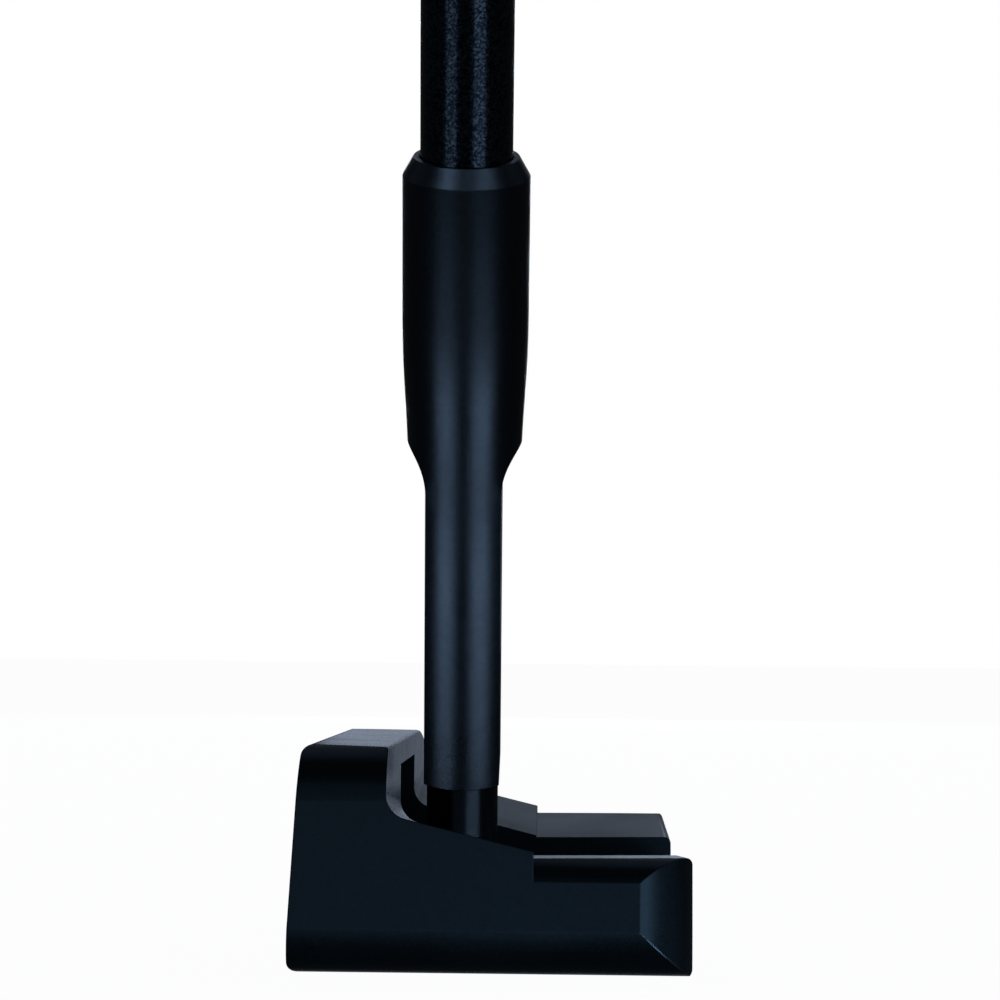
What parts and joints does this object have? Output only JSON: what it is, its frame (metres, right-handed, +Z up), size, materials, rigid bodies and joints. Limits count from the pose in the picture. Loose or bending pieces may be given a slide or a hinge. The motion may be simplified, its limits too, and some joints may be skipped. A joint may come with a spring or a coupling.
{
  "type": "golf putter",
  "caption": "Right-handed golf putter: short milled head with two bumpers behind the face block, a leaning slim neck on a post, a shaft and a rubber grip.",
  "frame": {"origin": "on the sole, under the middle of the head", "axes": "+Z up from the sole; +Y from heel to toe; -X towards the target, square to the face's aim"},
  "size_m": [0.0489, 0.4056, 0.8149],
  "materials": {
    "head": "black anodised, fine bead-blasted satin",
    "face": "black anodised, fly-milled",
    "steel": "dark PVD, brushed",
    "screw": "black oxide",
    "weight": "turned, bare steel",
    "rubber": "matte",
    "paint": "white paint fill",
    "post": "black, turned satin",
    "epoxy": "cured epoxy",
    "neck": "black anodised, turned and blasted satin",
    "shaft": "black with a fine metallic fleck under clear coat",
    "foam": "foam plug",
    "tape": "double-sided tape",
    "grip": "moulded, dimpled, matte",
    "cap": "moulded, matte"
  },
  "bodies": {
    "root": {"head_body": "head", "face_insert": "face", "face_insert_tape": "tape", "sole_plate": "steel", "sole_screws": "screw", "heel_weight": "weight", "toe_weight": "weight", "heel_weight_washer": "rubber", "toe_weight_washer": "rubber", "sight_line": "paint", "hosel_post": "post", "post_bond": "epoxy", "neck_bond": "epoxy", "neck": "neck", "shaft_bond": "epoxy", "shaft": "shaft", "tip_plug": "foam", "butt_plug": "foam", "grip_tape": "tape", "grip": "grip", "grip_cap": "cap"}
  },
  "joints": []
}
